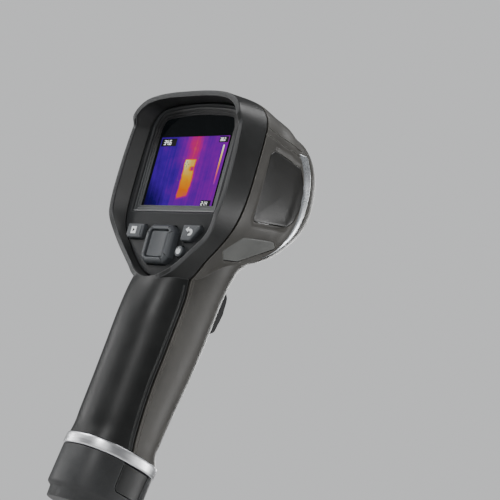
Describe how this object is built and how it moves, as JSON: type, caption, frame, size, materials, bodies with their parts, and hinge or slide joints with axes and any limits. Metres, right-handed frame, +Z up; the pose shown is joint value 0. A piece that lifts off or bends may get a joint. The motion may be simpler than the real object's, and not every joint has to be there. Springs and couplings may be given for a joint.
{
  "type": "thermal imaging camera",
  "caption": "Handheld thermal camera: hooded display and keypad over a pistol handle, rounded nose with a shuttered lens, trigger, and a latched battery as its base.",
  "frame": {"origin": "centre of the flat face under the battery, on which the camera stands", "axes": "+Z up the handle, +Y towards the lens, +X to the right of the operator, who faces the display"},
  "size_m": [0.0952, 0.0997, 0.2427],
  "materials": {
    "handle_plastic": "satin black soft-touch overmould",
    "shell_plastic": "warm dark grey moulded plastic, fine spark texture",
    "panel_plastic": "dark grey satin plastic",
    "bright_trim": "satin chrome plating",
    "brushed_ring": "brushed silver",
    "keypad_plastic": "cool dark grey plastic",
    "key_rubber": "grey silicone rubber with white print",
    "soft_rubber": "black rubber",
    "black_plastic": "black plastic",
    "display_glass": "clear cover glass over a black border",
    "camera_glass": "small clear window",
    "picture": "lit thermal picture",
    "germanium": "coated germanium lens",
    "circuit_board": "green solder mask",
    "cell_wrap": "shrink wrap",
    "gold_contact": "gold plated",
    "black_anodised": "black anodised",
    "steel": "bare steel"
  },
  "bodies": {
    "camera": {"rear_housing": "handle_plastic", "front_housing": "shell_plastic", "nose_bezel": "shell_plastic", "side_panel_right": "panel_plastic", "side_panel_left": "panel_plastic", "chrome_trim_right": "bright_trim", "chrome_trim_left": "bright_trim", "rating_plate": "panel_plastic", "control_panel": "keypad_plastic", "display_glass": "display_glass", "lcd_module": "picture", "key_mat": "black_plastic", "main_board": "circuit_board", "board_screw_1": "steel", "board_screw_2": "steel", "board_screw_3": "steel", "board_screw_4": "steel", "processor_can": "steel", "usb_socket": "steel", "lens_plate": "panel_plastic", "cover_pin": "steel", "lens_barrel": "black_anodised", "lens_ring": "black_anodised", "infrared_lens": "germanium", "detector_module": "steel", "sensor_board": "circuit_board", "visual_camera": "black_plastic", "camera_window": "camera_glass", "trigger_pin": "steel", "trigger_bracket": "steel", "trigger_switch": "black_plastic", "trigger_spring": "steel", "handle_ring": "brushed_ring", "contact_pin_1": "gold_contact", "contact_pin_2": "gold_contact", "contact_pin_3": "gold_contact", "contact_pin_4": "gold_contact", "contact_block": "black_plastic"},
    "trigger": {"trigger": "soft_rubber"},
    "archive_key": {"archive_key": "key_rubber"},
    "return_key": {"return_key": "key_rubber"},
    "power_key": {"power_key": "key_rubber"},
    "nav_gimbal": {"nav_gimbal": "steel"},
    "nav_ring": {"nav_ring": "key_rubber"},
    "nav_centre_key": {"nav_centre_key": "key_rubber"},
    "lens_cover": {"lens_cover": "black_plastic"},
    "usb_cover": {"usb_cover": "soft_rubber"},
    "battery": {"battery_case": "handle_plastic", "battery_cell": "cell_wrap", "battery_board": "circuit_board", "battery_cap": "black_plastic", "battery_contact_1": "gold_contact", "battery_contact_2": "gold_contact", "battery_contact_3": "gold_contact", "battery_contact_4": "gold_contact"},
    "latch_right": {"latch_right": "keypad_plastic"},
    "latch_left": {"latch_left": "keypad_plastic"}
  },
  "joints": [
    {"name": "trigger_pull", "type": "hinge", "parent": "camera", "child": "trigger", "pos_m": [0, 0.0145, 0.143], "axis": [-1, 0, 0], "range_deg": [0, 8], "stiffness_Nm_per_rad": 0.9, "springref_deg": -2.86},
    {"name": "archive_key_press", "type": "slide", "parent": "camera", "child": "archive_key", "axis": [0, 0.9848, 0.1736], "range_m": [0, 0.0007], "stiffness_N_per_m": 900},
    {"name": "return_key_press", "type": "slide", "parent": "camera", "child": "return_key", "axis": [0, 0.9848, 0.1736], "range_m": [0, 0.0007], "stiffness_N_per_m": 900},
    {"name": "power_key_press", "type": "slide", "parent": "camera", "child": "power_key", "axis": [0, 0.9848, 0.1736], "range_m": [0, 0.0007], "stiffness_N_per_m": 900},
    {"name": "nav_left_right", "type": "hinge", "parent": "camera", "child": "nav_gimbal", "pos_m": [0, -0.02342, 0.14778], "axis": [0, -0.1736, 0.9848], "range_deg": [-2.5, 2.5], "stiffness_Nm_per_rad": 0.3},
    {"name": "nav_up_down", "type": "hinge", "parent": "nav_gimbal", "child": "nav_ring", "pos_m": [0, -0.02342, 0.14778], "axis": [1, 0, 0], "range_deg": [-2.5, 2.5], "stiffness_Nm_per_rad": 0.3},
    {"name": "nav_centre_key_press", "type": "slide", "parent": "nav_ring", "child": "nav_centre_key", "axis": [0, 0.9848, 0.1736], "range_m": [0, 0.0006], "stiffness_N_per_m": 900},
    {"name": "lens_cover_swing", "type": "hinge", "parent": "camera", "child": "lens_cover", "pos_m": [-0.008, 0.04177, 0.20798], "axis": [0, 0.9511, 0.309], "range_deg": [0, 88]},
    {"name": "usb_cover_lift", "type": "hinge", "parent": "camera", "child": "usb_cover", "pos_m": [0, -0.02316, 0.23962], "axis": [1, 0, 0], "range_deg": [0, 105]},
    {"name": "battery_slide", "type": "slide", "parent": "camera", "child": "battery", "axis": [0, 0, -1], "range_m": [0, 0.085]},
    {"name": "latch_right_press", "type": "slide", "parent": "battery", "child": "latch_right", "axis": [-1, 0, 0], "range_m": [0, 0.001], "stiffness_N_per_m": 1500},
    {"name": "latch_left_press", "type": "slide", "parent": "battery", "child": "latch_left", "axis": [1, 0, 0], "range_m": [0, 0.001], "stiffness_N_per_m": 1500}
  ]
}
